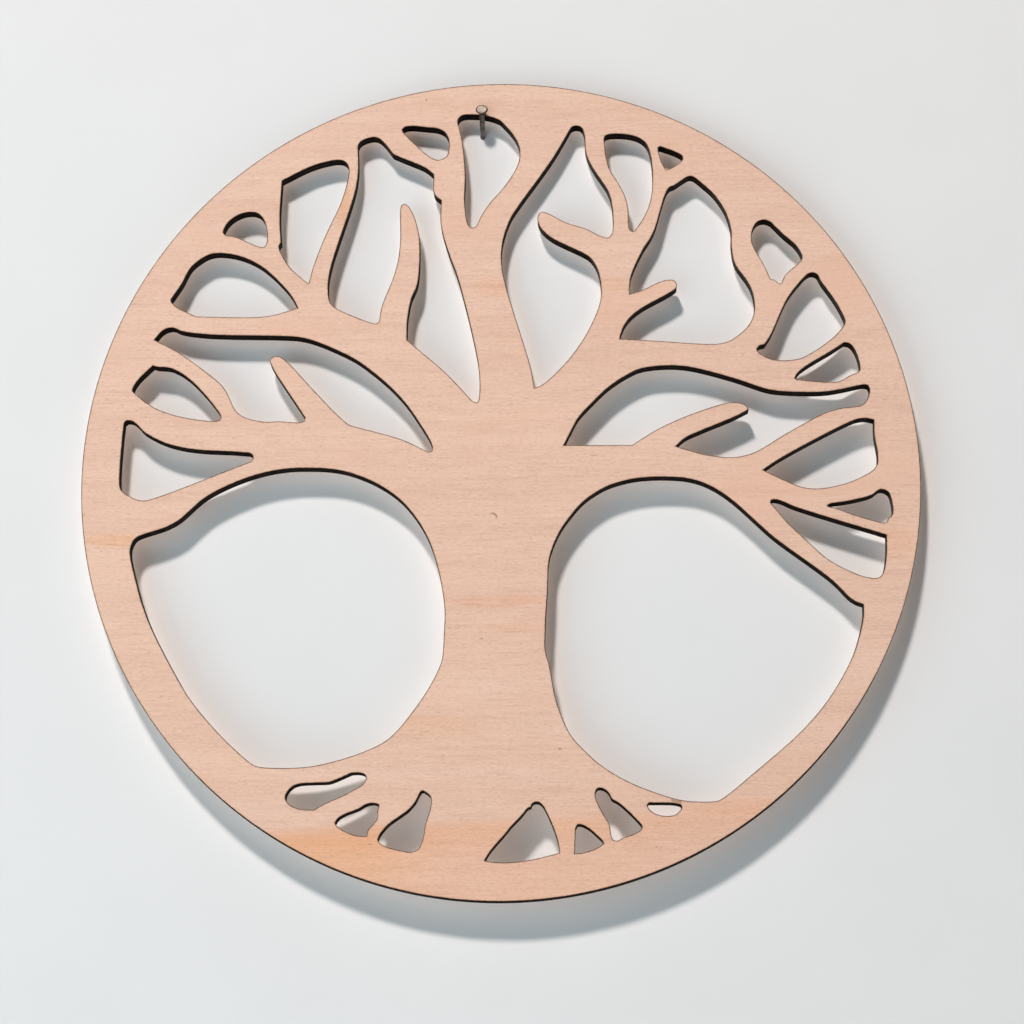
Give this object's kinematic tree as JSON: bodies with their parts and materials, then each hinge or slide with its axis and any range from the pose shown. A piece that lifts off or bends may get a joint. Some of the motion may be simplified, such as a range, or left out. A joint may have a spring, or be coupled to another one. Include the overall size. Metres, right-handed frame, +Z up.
{
  "type": "tree of life wall disc",
  "caption": "Flat round wall ornament of laser-cut plywood, a branching tree with roots cut out inside a rim, hanging on a nail.",
  "frame": {"origin": "the point where the nail's centreline enters the wall's surface", "axes": "+Y into the wall and square to it, +Z up, +X to the right as seen from the room; the disc's face looks along -Y"},
  "size_m": [0.3, 0.037, 0.3],
  "materials": {
    "face_wood": "bare sanded veneer, matte, edges charred by the laser",
    "crossband_wood": "bare rotary-cut veneer, edges charred by the laser",
    "core_wood": "bare rotary-cut veneer, edges charred by the laser",
    "nail_steel": "bright drawn steel wire, slightly dulled"
  },
  "bodies": {
    "nail": {"hanging_nail": "nail_steel"},
    "disc": {"face_veneer": "face_wood", "front_crossband": "crossband_wood", "core_veneer": "core_wood", "rear_crossband": "crossband_wood", "back_veneer": "face_wood"}
  },
  "joints": [
    {"name": "swing", "type": "hinge", "parent": "nail", "child": "disc", "pos_m": [0, -0.0072, 0.00336], "axis": [0, 1, 0], "range_deg": [-20, 20]}
  ]
}
